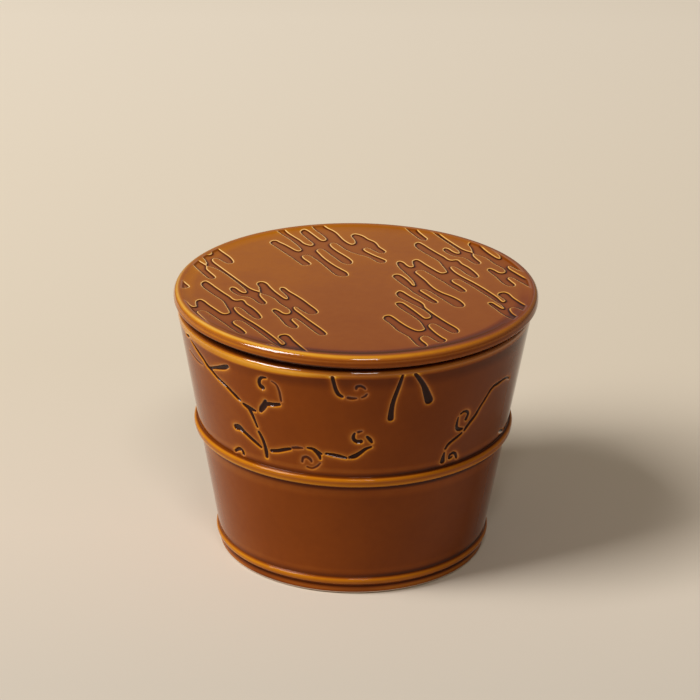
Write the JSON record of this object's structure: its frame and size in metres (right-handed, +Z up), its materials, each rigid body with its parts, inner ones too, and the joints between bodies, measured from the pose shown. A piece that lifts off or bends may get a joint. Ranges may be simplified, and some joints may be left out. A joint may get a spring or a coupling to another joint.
{
  "type": "lidded ceramic jar",
  "caption": "Round lidded stoneware box shaped like a small hooped wooden tub: tapering jar with raised hoops, flat lift-off lid, amber glaze.",
  "frame": {"origin": "middle of the foot ring's flat underside, on the axis of the jar, where it stands on a table", "axes": "+Z up along the axis of the jar and lid; +Y away from the viewer of the front, +X to the viewer's right"},
  "size_m": [0.18, 0.18, 0.1361],
  "materials": {
    "amber_glaze_jar": "glossy amber-brown glaze that breaks golden on raised edges and pools dark in cut lines; bare pale clay under the foot ring",
    "amber_glaze_lid": "glossy amber-brown glaze that breaks golden on raised edges and pools dark in cut lines; bare pale clay on the seat"
  },
  "bodies": {
    "jar_body": {"jar": "amber_glaze_jar"},
    "lid_body": {"lid": "amber_glaze_lid"}
  },
  "joints": [
    {"name": "lid_lift", "type": "slide", "parent": "jar_body", "child": "lid_body", "axis": [0, 0, 1], "range_m": [0, 0.15]}
  ]
}
